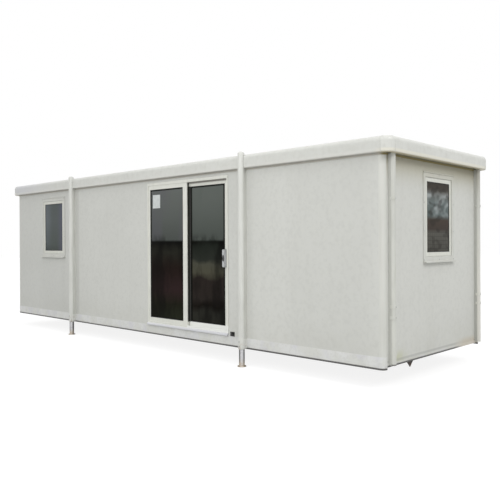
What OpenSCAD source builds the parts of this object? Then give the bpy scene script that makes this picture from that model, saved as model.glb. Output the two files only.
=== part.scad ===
// Portable site cabin: a flat-roofed insulated box on a steel base, carried on four jack legs,
// with a two-leaf sliding door and a window in its front and a window in each end.
// Millimetres. X runs along the cabin, Y from the door side to the back, Z up.
// The origin is on the ground under the middle of the plan.

/* [Cabin] */
// Distance from the left end of the cabin to the left legs
window_bay = 2171; // [1900:1:2500]
// Distance from the left legs to the door
centre_panel = 2204; // [1800:1:2600]
// Distance from the door to the right legs
door_strip = 305; // [240:1:500]
// Distance from the right legs to the right end of the cabin
end_bay = 2137; // [1800:1:2500]
// Width over the walls
cabin_width = 2440; // [2000:20:3000]
// Height of the wall above the door
lintel_height = 110; // [80:1:200]
// Clear height from the ground to the underside of the base
ground_gap = 228; // [180:2:400]
// Thickness of the wall panels
wall = 65; // [54:1:90]
// Radius of the cabin's upright corners
corner_r = 58; // [50:1:64]

/* [Base] */
// Height of the channel along each long side
rail_height = 142; // [115:1:170]
// Distance that the base stands out from the walls
rail_proud = 3; // [1:0.5:3.5]
// Height of the channel under each end wall
end_rail_height = 38; // [30:1:60]
// Distance of the end channels above the underside of the base
end_rail_lift = 26; // [8:1:40]
// Thickness of the base steel
rail_steel = 5; // [4:0.5:8]
// Distance between the floor joists
joist_pitch = 620; // [400:10:700]
// Width of a floor joist
joist_width = 50; // [40:1:75]
// Thickness of the floor boards
deck = 24; // [18:1:30]

/* [Roof] */
// Thickness of the roof panel at its edges
roof_thickness = 90; // [60:1:100]
// Rise of the roof from its edges to the middle line
roof_rise = 25; // [15:1:30]
// Distance that the roof panel stands out past the end walls
roof_reach = 58; // [45:1:70]
// Height of the roof edge above the panel that it laps
roof_lip = 40; // [32:1:50]
// Height of the roof edge moulding
fascia_height = 185; // [160:5:200]
// Distance that the roof edge stands out from the roof panel
fascia_overhang = 60; // [50:1:75]
// Distance that the roof edge laps onto the roof panel
fascia_lap = 42; // [30:1:48]
// Radius of the roof edge's upper outer corner
fascia_top_r = 58; // [30:1:60]
// Radius of the roof edge's lower outer corner
fascia_low_r = 18; // [8:1:30]

/* [Jack legs] */
// Distance of the legs' axes outside the wall faces
leg_out = 55; // [55:1:60]
// Outside diameter of the fixed leg tube
housing_d = 88.9; // [84:0.1:90]
// Outside diameter of the sliding leg
leg_d = 76.1; // [68:0.1:78]
// Room all round between the sliding leg and the fixed tube
leg_slide = 0.4; // [0.3:0.05:0.9]
// Wall of the sliding leg
leg_wall = 5; // [4:0.5:10]
// Length of the sliding leg above its foot
leg_length = 1150; // [900:10:1400]
// Diameter of the foot plate
foot_d = 118; // [90:1:180]
// Thickness of the foot plate
foot_t = 10; // [6:1:20]
// Thickness of the bracket that holds the fixed tube to the base
bracket_t = 7; // [5:0.5:7.5]
// Distance of the bracket's ends from the top and the underside of the base
bracket_in = 12; // [5:1:30]
// Height of the fixed tube above the roof edge
housing_rise = 18; // [5:1:30]
// Height of the domed cap on the fixed tube
cap_height = 22; // [15:1:28]
// Room beside the leg tubes where they pass the roof edge
leg_notch = 6; // [3:0.5:7]

/* [Sliding door] */
// Width of the door frame
door_width = 1805; // [1500:5:2100]
// Height of the door frame
door_height = 2150; // [1800:10:2400]
// Height of the sub-cill under the door frame
sub_cill = 35; // [30:1:60]
// Distance that the sub-cill stands out from the door frame
cill_nose = 22; // [10:1:30]
// Distance that the door frame stands out from the wall
door_proud = 10; // [4:1:20]
// Face width of the door jambs
jamb_face = 25; // [22:1:40]
// Height of the door head
door_head_face = 42; // [35:1:60]
// Height of the door sill
door_sill_face = 28; // [24:1:40]
// Thickness of a door leaf
leaf_t = 36; // [30:1:45]
// Room between the two leaves
leaf_gap = 9; // [8:0.5:12]
// Thickness of the lips that guide the leaves
track_lip = 5; // [4:0.5:6]
// Depth of the tracks that the leaves run in
track_depth = 14; // [12:0.5:16]
// Room between a leaf and its track's lips
track_clear = 2; // [1.5:0.1:3]
// Room above the leaves in the head track
leaf_lift = 6; // [4:0.5:8]
// Width of the fixed leaf's outer stile
stile = 40; // [36:1:60]
// Width of the sliding leaf's lock stile
lock_stile = 92; // [92:1:110]
// Width of the stiles where the leaves meet
meeting_stile = 92; // [80:1:110]
// Overlap of the leaves when the door is shut
leaf_overlap = 74; // [60:1:80]
// Height of the leaves' bottom and top rails
leaf_rail = 70; // [60:1:90]
// Height of the door handle
handle_length = 250; // [220:5:270]
// Distance from the leaf's edge to the middle of the handle
handle_inset = 72; // [60:1:72]
// Distance from the leaf's foot to the middle of the handle
handle_rise = 1000; // [900:10:1100]
// Distance that the door handle stands off its leaf
handle_reach = 48; // [42:1:50]
// Width of the handle's grip
handle_width = 40; // [30:1:40]
// Thickness of the handle's grip and plate
handle_thick = 9; // [8:0.5:12]

/* [Windows] */
// Width of the glass seen in the front window
pane_width = 635; // [450:5:700]
// Height of the glass seen in the front window
pane_height = 878; // [700:2:900]
// Width of the glass seen in an end window
end_pane_width = 575; // [450:5:700]
// Height of the glass seen in an end window
end_pane_height = 856; // [700:2:900]
// Distance of the end windows behind the cabin's middle line
end_window_back = 47; // [0:1:100]
// Distance from the top of the walls down to the middle of the windows
window_drop = 730; // [650:10:900]
// Distance from the left legs to the middle of the front window
window_from_leg = 738; // [550:1:1000]
// Face width of the opening sash
sash_face = 52; // [40:1:60]
// Depth of the opening sash
sash_depth = 46; // [40:1:48]
// Lap of the window frame's stop behind the sash
sash_stop = 17; // [8:1:30]
// Face width of the window frame
window_face = 30; // [20:1:40]
// Lap of the window's outer trim on the wall
trim_lap = 22; // [15:1:30]
// Thickness of the window's outer trim
trim_t = 9; // [6:0.5:14]
// Distance that the window's sill stands out from the wall
window_sill_out = 46; // [30:1:60]
// Thickness of the window's sill at its nose
window_sill_t = 14; // [8:1:25]
// Fall of the window's sill from the trim to its nose
window_sill_fall = 9; // [5:1:15]
// Distance that the drip over the window stands out from the wall
drip_out = 18; // [12:1:30]
// Height of the drip over the window
drip_height = 18; // [14:1:25]
// Thickness of the sealed glass units
glass_t = 24; // [14:1:28]
// Depth of the glass behind the face of its sash or leaf
glass_set = 8; // [4:0.5:10]

/* [Fittings] */
// Outside diameter of the downpipes
pipe_d = 68; // [55:1:76]
// Room between a downpipe and the end wall
pipe_gap = 5; // [3.5:0.5:8]
// Distance of a downpipe's axis from the cabin's corner
pipe_from_corner = 127; // [100:1:150]
// Height of a downpipe's foot above the underside of the base
pipe_foot = 47; // [20:1:80]
// Width of the downpipe collars
collar_height = 34; // [20:1:50]
// Thickness of the downpipe collars
collar_t = 5; // [3:0.5:8]
// Width of the block behind a downpipe collar
collar_block = 36; // [20:1:40]
// Distance from the roof edge down to the upper collar
collar_drop = 495; // [200:5:800]
// Height of the middle collar above the underside of the base
collar_middle = 692; // [650:2:900]
// Height of the lower collar above the underside of the base
collar_lower = 572; // [300:2:600]
// Width of the service inlet's plate
inlet_width = 76; // [50:1:90]
// Height of the service inlet's plate
inlet_height = 58; // [50:1:90]
// Thickness of the service inlet's plate
inlet_plate = 8; // [5:1:12]
// Diameter of the service inlet's cap
inlet_cap_d = 42; // [30:1:48]
// Distance that the service inlet's cap stands off its plate
inlet_cap_out = 16; // [8:1:30]
// Distance from the door frame to the middle of the service inlet
inlet_from_door = 77; // [60:1:120]
// Length of the lug under the end channel
lug_length = 150; // [100:5:200]
// Depth of the lug under the end channel
lug_depth = 76; // [40:1:90]
// Diameter of the eye in the lug
lug_eye_d = 16; // [10:1:20]
// Thickness of the lug's plate
lug_t = 10; // [6:1:15]
// Distance of the lug's middle from the cabin's front corner
lug_from_corner = 610; // [400:10:800]

/* [Hidden] */
$fn = 64;

// Room left between pieces that sit together, between round pieces, and past a face that is cut
fit = 0.5;
seat = 0.3;
past = 1;

// Walls, base and roof
cabin_length = window_bay + centre_panel + door_width + door_strip + end_bay;
half_l = cabin_length / 2;
half_w = cabin_width / 2;
inner_l = half_l - wall;
inner_w = half_w - wall;
roof_l = half_l + roof_reach;
rail_top = ground_gap + rail_height;
end_rail_bottom = ground_gap + end_rail_lift;
floor_top = rail_top + deck;
door_bottom = rail_top + sub_cill;
door_top = door_bottom + door_height;
wall_top = door_top + lintel_height;
roof_edge_top = wall_top + roof_thickness;
roof_top = roof_edge_top + roof_lip;
fascia_bottom = roof_top - fascia_height;

// Jack legs
leg_left = -half_l + window_bay;
leg_right = half_l - end_bay;
leg_y = half_w + leg_out;
notch = housing_d / 2 + leg_notch;
notch_back = leg_y - housing_d / 2 - seat;
housing_top = roof_top + housing_rise;

// Sliding door
door_left = leg_left + centre_panel;
door_right = door_left + door_width;
door_front = -half_w - door_proud;
door_depth = 2 * (track_lip + track_clear + leaf_t) + leaf_gap;
track_floor = door_bottom + door_sill_face - track_depth;
track_ceiling = door_top - door_head_face + track_depth;
leaf_width = (door_width - 2 * jamb_face + leaf_overlap) / 2;
leaf_bottom = track_floor + seat;
leaf_height = track_ceiling - leaf_lift - leaf_bottom;
outer_leaf_y = door_front + track_lip + track_clear;
inner_leaf_y = outer_leaf_y + leaf_t + leaf_gap;
fixed_leaf_x = door_left + jamb_face;
sliding_leaf_x = door_right - jamb_face - fit - leaf_width;
handle_x = sliding_leaf_x + leaf_width - handle_inset;
handle_z = leaf_bottom + handle_rise;

// Windows
front_pane = [pane_width, pane_height];
end_pane = [end_pane_width, end_pane_height];
sash_room = 2 * sash_face * [1, 1];
frame_room = sash_room + 2 * (fit + window_face) * [1, 1];
trim_room = frame_room + 2 * trim_lap * [1, 1];
window_z = wall_top - window_drop;
front_window_x = leg_left - window_from_leg;

// Downpipes and lug
pipe_x = half_l + pipe_gap + pipe_d / 2;
pipe_y = half_w - pipe_from_corner;

// Colours
coated_steel = "#c9cac5";
moulding = "#d2d3cd";
white_profile = "#e4e5de";
base_paint = "#c3c4c6";
corner_paint = "#cfd0ca";
galvanised = "#a8aaa8";
dark_glass = [0.20, 0.24, 0.27, 0.6];

// Places the children at both ends of both long sides, each mirrored from the first quarter
module four_corners() {
    for (sx = [-1, 1]) for (sy = [-1, 1])
        scale_side(sx, sy) children();
}

// Mirrors the children to the side that the two signs give
module scale_side(sx, sy) {
    mirror([sx < 0 ? 1 : 0, 0, 0]) mirror([0, sy < 0 ? 1 : 0, 0]) children();
}

// A box from one corner to the opposite one
module box(from, to) {
    translate(from) cube(to - from);
}

// Sweeps a profile drawn in Y and Z along X from one place to another
module along_x(from, to) {
    translate([from, 0, 0]) rotate([90, 0, 90]) linear_extrude(to - from) children();
}

// Sweeps a profile drawn in X and Z along Y from one place to another
module along_y(from, to) {
    translate([0, to, 0]) rotate([90, 0, 0]) linear_extrude(to - from) children();
}

// Waste outside a rounded corner that points to +X and +Y and ends at the origin
module corner_waste(r) {
    translate([-r, -r]) difference() {
        square(r + past);
        circle(r);
    }
}

// A rectangular ring standing in X and Z, its face at Y = 0 and its depth along +Y
module ring(width, height, face, depth) {
    translate([0, depth, 0]) rotate([90, 0, 0]) linear_extrude(depth) difference() {
        square([width, height], center = true);
        square([width - 2 * face, height - 2 * face], center = true);
    }
}

// Base: channels with their webs outward between solid corner pieces
module channel(height) {
    difference() {
        square([wall + rail_proud, height]);
        translate([rail_steel, rail_steel]) square([wall + rail_proud, height - 2 * rail_steel]);
    }
}

module side_rail() along_x(-inner_l, inner_l)
    translate([-half_w - rail_proud, ground_gap]) channel(rail_height);

module base_rail_front() color(base_paint) side_rail();

module base_rail_back() color(base_paint) mirror([0, 1, 0]) side_rail();

module end_rail() along_y(-inner_w, inner_w)
    translate([half_l + rail_proud, end_rail_bottom]) mirror([1, 0]) channel(end_rail_height);

module base_rail_right() color(base_paint) end_rail();

module base_rail_left() color(base_paint) mirror([1, 0, 0]) end_rail();

module base_corners() color(base_paint) four_corners()
    translate([0, 0, ground_gap]) linear_extrude(rail_height) corner_plan(rail_proud);

// Plan of a corner piece with a round outer corner that stands out from the wall faces
module corner_plan(out) translate([half_l + out, half_w + out]) difference() {
    translate([-wall - out, -wall - out]) square(wall + out);
    corner_waste(corner_r + out);
}

// Floor: joists between the side channels, one at each end wall, and boards on top of them
module floor_joists() color("#a58a63") {
    each_side = floor((inner_l - 2 * joist_width) / joist_pitch);
    for (i = [-each_side : each_side]) joist(i * joist_pitch - joist_width / 2);
    for (x = [-inner_l, inner_l - joist_width]) joist(x);
}

module joist(x) {
    box([x, -inner_w, ground_gap + rail_steel], [x + joist_width, inner_w, rail_top]);
}

module floor_deck() color("#9a8f80")
    box([-inner_l, -inner_w, rail_top], [inner_l, inner_w, floor_top]);

// Walls: insulated panels between the corner posts, jointed behind the legs and at the door
module front_panel(from, to, bottom = rail_top) {
    box([from, -half_w, bottom], [to, -inner_w, wall_top]);
}

module front_wall_window_bay() color(coated_steel) difference() {
    front_panel(-inner_l, leg_left - fit / 2);
    at_front_window() window_hole(front_pane);
}

module front_wall_centre() color(coated_steel)
    front_panel(leg_left + fit / 2, door_left);

module front_wall_door_strip() color(coated_steel)
    front_panel(door_right, leg_right - fit / 2);

module front_wall_right_bay() color(coated_steel)
    front_panel(leg_right + fit / 2, inner_l);

module front_wall_lintel() color(coated_steel)
    front_panel(door_left, door_right, door_top);

module back_wall() color(coated_steel) mirror([0, 1, 0]) {
    front_panel(-inner_l, leg_left - fit / 2);
    front_panel(leg_left + fit / 2, leg_right - fit / 2);
    front_panel(leg_right + fit / 2, inner_l);
}

module end_panel() {
    box([inner_l, -inner_w, end_rail_bottom + end_rail_height], [half_l, inner_w, wall_top]);
}

module right_end_wall() color(coated_steel) difference() {
    end_panel();
    at_right_window() window_hole(end_pane);
}

module left_end_wall() color(coated_steel) difference() {
    mirror([1, 0, 0]) end_panel();
    at_left_window() window_hole(end_pane);
}

// Posts with a round outer corner, from the base to the roof panel
module corner_posts() color(corner_paint) four_corners()
    translate([0, 0, rail_top]) linear_extrude(wall_top - rail_top) corner_plan(0);

// Roof: one insulated panel on top of the walls, falling to both long sides, with round corners
module roof_panel() color("#b9bbb8") difference() {
    along_x(-roof_l, roof_l) polygon([
        [-half_w, wall_top], [half_w, wall_top], [half_w, roof_edge_top],
        [0, roof_edge_top + roof_rise], [-half_w, roof_edge_top]
    ]);
    four_corners() translate([roof_l, half_w, wall_top - past])
        linear_extrude(roof_thickness + roof_rise + 2 * past) corner_waste(corner_r);
}

// Roof edge in section: X outward from the roof panel's edge, Y up from the lower edge
module fascia_profile() {
    difference() {
        union() {
            square([fascia_overhang, fascia_height]);
            translate([-fascia_lap, fascia_height - roof_lip])
                square([fascia_lap + past, roof_lip]);
        }
        translate([fascia_overhang, fascia_height]) corner_waste(fascia_top_r);
        translate([fascia_overhang, 0]) mirror([0, 1, 0]) corner_waste(fascia_low_r);
    }
}

module side_fascia() difference() {
    along_x(-roof_l + corner_r, roof_l - corner_r)
        translate([half_w, fascia_bottom]) fascia_profile();
    for (x = [leg_left, leg_right])
        box([x - notch, notch_back, fascia_bottom - past],
            [x + notch, half_w + fascia_overhang + past, roof_top + past]);
    roof_panel();
}

module fascia_back() color(moulding) side_fascia();

module fascia_front() color(moulding) mirror([0, 1, 0]) side_fascia();

module end_fascia() difference() {
    along_y(-half_w + corner_r, half_w - corner_r)
        translate([roof_l, fascia_bottom]) fascia_profile();
    roof_panel();
}

module fascia_right() color(moulding) end_fascia();

module fascia_left() color(moulding) mirror([1, 0, 0]) end_fascia();

module fascia_corners() color(moulding) difference() {
    four_corners() translate([roof_l - corner_r, half_w - corner_r, fascia_bottom])
        rotate_extrude(angle = 90) translate([corner_r, 0]) fascia_profile();
    roof_panel();
}

// Places the children on the axes of the four legs, with +Y outward
module at_legs() {
    for (x = [leg_left, leg_right]) for (sy = [-1, 1])
        translate([x, 0, 0]) mirror([0, sy < 0 ? 1 : 0, 0]) translate([0, leg_y, 0]) children();
}

// Jack legs: brackets on the base, fixed tubes in them closed by caps, and sliding legs inside
module leg_brackets() color(moulding) at_legs()
    translate([0, 0, ground_gap + bracket_in]) linear_extrude(rail_height - 2 * bracket_in)
        difference() {
            union() {
                circle(d = housing_d + 2 * bracket_t);
                translate([-housing_d / 2, rail_proud - leg_out])
                    square([housing_d, leg_out - rail_proud]);
            }
            circle(d = housing_d + 2 * seat);
        }

module leg_housings() color(moulding) at_legs()
    translate([0, 0, ground_gap]) difference() {
        cylinder(h = housing_top - ground_gap, d = housing_d);
        translate([0, 0, -past])
            cylinder(h = housing_top - ground_gap + 2 * past, d = leg_d + 2 * leg_slide);
    }

module leg_caps() color(moulding) at_legs() translate([0, 0, housing_top])
    rotate_extrude() intersection() {
        translate([0, cap_height - (pow(housing_d / 2, 2) + pow(cap_height, 2)) / (2 * cap_height)])
            circle((pow(housing_d / 2, 2) + pow(cap_height, 2)) / (2 * cap_height));
        square([housing_d / 2, cap_height]);
    }

module jack_leg(x, sy) color(galvanised) translate([x, sy * leg_y, 0]) {
    cylinder(h = foot_t, d = foot_d);
    translate([0, 0, foot_t]) difference() {
        cylinder(h = leg_length, d = leg_d);
        translate([0, 0, leg_wall]) cylinder(h = leg_length, d = leg_d - 2 * leg_wall);
    }
}

module jack_leg_front_left() jack_leg(leg_left, -1);

module jack_leg_front_right() jack_leg(leg_right, -1);

module jack_leg_back_left() jack_leg(leg_left, 1);

module jack_leg_back_right() jack_leg(leg_right, 1);

// Sliding door: a frame of four profiles with two tracks, the front one for the fixed leaf
module track_profile(face) {
    difference() {
        square([door_depth, face]);
        for (y = [track_lip, track_lip + leaf_t + leaf_gap])
            translate([y, face - track_depth])
                square([leaf_t + 2 * track_clear, track_depth + past]);
    }
}

module door_head() color(white_profile) along_x(door_left, door_right)
    translate([door_front, door_top]) mirror([0, 1]) track_profile(door_head_face);

module door_sill() color(white_profile) along_x(door_left, door_right) {
    translate([door_front, door_bottom]) track_profile(door_sill_face);
    translate([door_front, rail_top]) polygon([
        [-cill_nose, 0], [wall + door_proud, 0], [wall + door_proud, sub_cill],
        [0, sub_cill], [-cill_nose, sub_cill / 2]
    ]);
}

module door_jamb(x) {
    box([x, door_front, door_bottom + door_sill_face],
        [x + jamb_face, door_front + door_depth, door_top - door_head_face]);
}

module door_jamb_left() color(white_profile) door_jamb(door_left);

module door_jamb_right() color(white_profile) door_jamb(door_right - jamb_face);

// A leaf of two stiles and two rails around its glass, and the glass itself
module leaf(x, y, left, right) {
    difference() {
        box([x, y, leaf_bottom], [x + leaf_width, y + leaf_t, leaf_bottom + leaf_height]);
        box([x + left, y - past, leaf_bottom + leaf_rail],
            [x + leaf_width - right, y + leaf_t + past, leaf_bottom + leaf_height - leaf_rail]);
    }
}

module leaf_glass(x, y, left, right) {
    box([x + left + fit, y + glass_set, leaf_bottom + leaf_rail + fit],
        [x + leaf_width - right - fit, y + glass_set + glass_t,
         leaf_bottom + leaf_height - leaf_rail - fit]);
}

module fixed_leaf() color(white_profile)
    leaf(fixed_leaf_x, outer_leaf_y, stile, meeting_stile);

module fixed_leaf_glass() color(dark_glass)
    leaf_glass(fixed_leaf_x, outer_leaf_y, stile, meeting_stile);

module sliding_leaf() color(white_profile)
    leaf(sliding_leaf_x, inner_leaf_y, meeting_stile, lock_stile);

module sliding_leaf_glass() color(dark_glass)
    leaf_glass(sliding_leaf_x, inner_leaf_y, meeting_stile, lock_stile);

// Loop handle in section: X away from the leaf, Y along the handle's height
module handle_profile() {
    difference() {
        translate([0, -handle_length / 2]) square([handle_reach, handle_length]);
        for (s = [0, 1]) mirror([0, s])
            translate([handle_reach, handle_length / 2]) corner_waste(2 * handle_thick);
        translate([handle_thick, handle_thick - handle_length / 2])
            square([handle_reach - 2 * handle_thick, handle_length - 2 * handle_thick]);
    }
}

module door_handles() color("#8c9094") {
    translate([handle_x - handle_width / 2, 0, handle_z]) {
        translate([0, inner_leaf_y, 0]) along_x(0, handle_width) mirror([1, 0]) handle_profile();
        translate([0, inner_leaf_y + leaf_t, 0]) along_x(0, handle_width) handle_profile();
    }
}

// Windows: each is drawn about its own middle, facing -Y, with the wall's face at Y = 0
module at_front_window() translate([front_window_x, -half_w, window_z]) children();

module at_right_window() translate([half_l, end_window_back, window_z]) rotate(90) children();

module at_left_window() translate([-half_l, end_window_back, window_z]) rotate(-90) children();

module window_hole(pane) {
    size = pane + frame_room;
    box([-size.x / 2 - fit, -past, -size.y / 2 - fit],
        [size.x / 2 + fit, wall + past, size.y / 2 + fit]);
}

// Frame with an outer trim, a stop behind the sash, a drip head and a sloping sill
module window_frame(pane) {
    size = pane + frame_room;
    trim = pane + trim_room;
    ring(size.x, size.y, window_face, wall);
    translate([0, -trim_t, 0]) ring(trim.x, trim.y, trim_lap + window_face, trim_t);
    translate([0, sash_depth, 0]) ring(size.x, size.y, window_face + sash_stop, wall - sash_depth);
    along_x(-trim.x / 2, trim.x / 2) {
        translate([0, trim.y / 2]) polygon([
            [0, 0], [0, drip_height], [-drip_out, drip_height / 2], [-drip_out, 0]
        ]);
        translate([0, -trim.y / 2]) polygon([
            [0, 0], [-trim_t, 0], [-window_sill_out, -window_sill_fall],
            [-window_sill_out, -window_sill_fall - window_sill_t],
            [0, -window_sill_fall - window_sill_t]
        ]);
    }
}

module window_frames() color(white_profile) {
    at_front_window() window_frame(front_pane);
    at_right_window() window_frame(end_pane);
    at_left_window() window_frame(end_pane);
}

module window_sash(pane) ring(pane.x + sash_room.x, pane.y + sash_room.y, sash_face, sash_depth);

module window_sashes() color(white_profile) {
    at_front_window() window_sash(front_pane);
    at_right_window() window_sash(end_pane);
    at_left_window() window_sash(end_pane);
}

module window_pane(pane) {
    box([fit - pane.x / 2, glass_set, fit - pane.y / 2],
        [pane.x / 2 - fit, glass_set + glass_t, pane.y / 2 - fit]);
}

module window_panes() color(dark_glass) {
    at_front_window() window_pane(front_pane);
    at_right_window() window_pane(end_pane);
    at_left_window() window_pane(end_pane);
}

// Downpipes at both ends of the end walls, held to the wall by collars with a block behind
module downpipe() {
    translate([pipe_x, pipe_y, ground_gap + pipe_foot])
        cylinder(h = fascia_bottom - ground_gap - pipe_foot, d = pipe_d);
    for (z = [ground_gap + collar_lower, ground_gap + collar_middle, fascia_bottom - collar_drop])
        translate([pipe_x, pipe_y, z - collar_height / 2]) {
            cylinder(h = collar_height, d = pipe_d + 2 * collar_t);
            box([half_l - pipe_x, -collar_block / 2, 0], [0, collar_block / 2, collar_height]);
        }
}

module downpipes() color("#c4c6c6") four_corners() downpipe();

// Capped service inlet on the wall beside the door, just above the base channel
module service_inlet() color("#26282a")
    translate([door_right + inlet_from_door, -half_w, rail_top + inlet_height / 2]) {
        box([-inlet_width / 2, -inlet_plate, -inlet_height / 2],
            [inlet_width / 2, 0, inlet_height / 2]);
        translate([0, -inlet_plate, 0]) rotate([90, 0, 0])
            cylinder(h = inlet_cap_out, d = inlet_cap_d);
    }

// Three-cornered lug with an eye, welded under the end channel
module end_lug() color("#3a3a38") translate([0, lug_from_corner - half_w, end_rail_bottom])
    translate([half_l - wall / 2 - lug_t / 2, 0, 0]) rotate([90, 0, 90]) linear_extrude(lug_t)
        difference() {
            polygon([[-lug_length / 2, 0], [0, -lug_depth], [lug_length / 2, 0]]);
            translate([0, -lug_depth / 2]) circle(d = lug_eye_d);
        }

base_rail_front();
base_rail_back();
base_rail_left();
base_rail_right();
base_corners();
floor_joists();
floor_deck();
front_wall_window_bay();
front_wall_centre();
front_wall_door_strip();
front_wall_right_bay();
front_wall_lintel();
back_wall();
left_end_wall();
right_end_wall();
corner_posts();
roof_panel();
fascia_front();
fascia_back();
fascia_left();
fascia_right();
fascia_corners();
leg_brackets();
leg_housings();
leg_caps();
jack_leg_front_left();
jack_leg_front_right();
jack_leg_back_left();
jack_leg_back_right();
door_head();
door_sill();
door_jamb_left();
door_jamb_right();
fixed_leaf();
fixed_leaf_glass();
sliding_leaf();
sliding_leaf_glass();
door_handles();
window_frames();
window_sashes();
window_panes();
downpipes();
service_inlet();
end_lug();
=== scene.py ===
"""Portable site cabin on jack legs: its finishes and small pieces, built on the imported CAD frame."""
import math

import bmesh
import bpy
from mathutils import Matrix, Vector


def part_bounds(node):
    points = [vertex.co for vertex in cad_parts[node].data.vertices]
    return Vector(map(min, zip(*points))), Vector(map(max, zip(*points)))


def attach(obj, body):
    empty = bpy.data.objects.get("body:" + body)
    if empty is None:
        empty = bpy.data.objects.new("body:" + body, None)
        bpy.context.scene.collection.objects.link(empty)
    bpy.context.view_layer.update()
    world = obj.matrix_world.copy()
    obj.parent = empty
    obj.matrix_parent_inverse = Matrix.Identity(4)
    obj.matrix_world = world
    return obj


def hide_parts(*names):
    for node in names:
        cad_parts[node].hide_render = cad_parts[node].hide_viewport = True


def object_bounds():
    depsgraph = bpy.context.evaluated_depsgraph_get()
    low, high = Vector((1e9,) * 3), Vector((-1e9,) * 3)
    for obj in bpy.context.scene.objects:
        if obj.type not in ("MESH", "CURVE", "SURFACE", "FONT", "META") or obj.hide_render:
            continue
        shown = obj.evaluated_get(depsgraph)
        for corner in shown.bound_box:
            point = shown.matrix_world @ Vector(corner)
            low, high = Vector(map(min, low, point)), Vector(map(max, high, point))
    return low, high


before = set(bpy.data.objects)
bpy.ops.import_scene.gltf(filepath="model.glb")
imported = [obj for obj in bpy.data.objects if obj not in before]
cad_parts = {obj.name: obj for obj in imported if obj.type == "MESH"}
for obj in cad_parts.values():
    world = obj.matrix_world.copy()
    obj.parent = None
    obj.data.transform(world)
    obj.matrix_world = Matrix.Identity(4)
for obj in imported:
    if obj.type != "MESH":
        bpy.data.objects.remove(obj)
cad_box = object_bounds()


# Base: pressed steel channels and corner pieces, welded into a ring under the walls and painted a cool pale
# grey. Road dirt dulls them, and painted shade darkens their lower edge, as the shadow under the cabin.
def add_node(tree, kind, inputs=None, **options):
    """Adds a node, sets its options, and feeds each input a value or another node's output."""
    made = tree.nodes.new(kind)
    for option, value in options.items():
        setattr(made, option, value)
    for socket, value in (inputs or {}).items():
        if isinstance(value, bpy.types.NodeSocket):
            tree.links.new(value, made.inputs[socket])
        else:
            made.inputs[socket].default_value = value
    return made


def colour(code):
    """A written colour such as #c9cac5 as linear red, green, blue and alpha."""
    parts = [int(code[i:i + 2], 16) / 255 for i in (1, 3, 5)]
    return tuple(c / 12.92 if c <= 0.04045 else ((c + 0.055) / 1.055) ** 2.4 for c in parts) + (1.0,)


class Finish:
    """A material whose colour is built up in layers over an object's own coordinates."""

    def __init__(self, name, **values):
        self.material = bpy.data.materials.new(name)
        self.material.use_nodes = True
        self.tree = self.material.node_tree
        self.shader = self.tree.nodes["Principled BSDF"]
        for socket, value in values.items():
            self.shader.inputs[socket.replace("_", " ")].default_value = value
        self.place = self.node("ShaderNodeTexCoord").outputs["Object"]
        self.shade = None

    def node(self, kind, inputs=None, **options):
        """Adds a node to the material."""
        return add_node(self.tree, kind, inputs, **options)

    def reckon(self, operation, *values):
        """The result of one step of arithmetic."""
        return self.node("ShaderNodeMath", dict(enumerate(values)), operation=operation).outputs[0]

    def product(self, first, *others):
        """Masks and strengths multiplied together."""
        for value in others:
            first = self.reckon("MULTIPLY", first, value)
        return first

    def patches(self, scale, low=0.35, high=0.65, stretch=(1, 1, 1), detail=3.0):
        """A mask of cloudy patches, levelled off below low and above high of the cloud's own range."""
        stretched = self.node("ShaderNodeMapping", {"Vector": self.place, "Scale": stretch}).outputs[0]
        cloud = self.node("ShaderNodeTexNoise", {"Vector": stretched, "Scale": scale, "Detail": detail})
        levels = {"Value": cloud.outputs[0], "From Min": low, "From Max": high}
        return self.node("ShaderNodeMapRange", levels).outputs[0]

    def fade(self, full, none, axis=2):
        """A mask of 1 at one place along an axis, which fades to 0 at another."""
        along = self.node("ShaderNodeSeparateXYZ", {0: self.place}).outputs[axis]
        levels = {"Value": along, "From Min": none, "From Max": full}
        return self.node("ShaderNodeMapRange", levels, interpolation_type="SMOOTHSTEP").outputs[0]

    def over(self, factor, under, top):
        """One colour laid over another by a factor."""
        return self.node("ShaderNodeMix", {0: factor, 6: under, 7: top}, data_type="RGBA").outputs[2]

    def show(self, shade):
        """Makes a colour the colour of the surface."""
        self.shade = shade
        self.tree.links.new(shade, self.shader.inputs["Base Color"])

    def start(self, code, other, mask):
        """Begins with one colour, and another where a mask is 1."""
        self.show(self.over(mask, colour(code), colour(other)))

    def lay(self, top, *masks):
        """Lays a colour over what is there, as far as masks and strengths let it."""
        if isinstance(top, str):
            top = colour(top)
        self.show(self.over(self.product(*masks), self.shade, top))

    def relief(self, height, depth):
        """Raises the surface by a mask times a depth in metres."""
        bump = self.node("ShaderNodeBump", {"Height": height, "Distance": depth})
        self.tree.links.new(bump.outputs[0], self.shader.inputs["Normal"])

    def dress(self, *names):
        """Gives CAD nodes this finish."""
        for name in names:
            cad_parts[name].data.materials.clear()
            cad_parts[name].data.materials.append(self.material)


def channel_paint(name, fresh, dull, bottom, edge, split_y):
    """Paint of a base channel, with road dirt, and painted shade on its lower edge, of a given height, up to
    a place in Y.
    """
    paint = Finish(name, Roughness=0.48)
    paint.start(fresh, dull, paint.patches(3.2, 0.42, 0.58, detail=4))
    paint.lay("#cfcfd5", 0.5, paint.patches(5.5, 0.50, 0.64, detail=4))
    paint.lay("#c4c4c0", 0.25, paint.patches(30, 0.5, 0.62))
    paint.lay("#aaa598", 0.30, paint.fade(bottom, bottom + 0.06), paint.patches(7, 0.3, 0.7))
    paint.lay("#c9bba4", 0.5, paint.fade(split_y, split_y - split_blend, axis=1))
    # Painted shade: the lower edge is darkened as the shadow under the cabin, on the ends only up to a place
    # in Y.
    edge_shade = paint.fade(bottom + edge * 0.6, bottom + edge)
    paint.lay("#3c3b3a", 0.94, edge_shade, paint.fade(split_y - split_blend, split_y, axis=1))
    paint.relief(paint.patches(420, 0.2, 0.8), 0.0002)
    return paint


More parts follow.
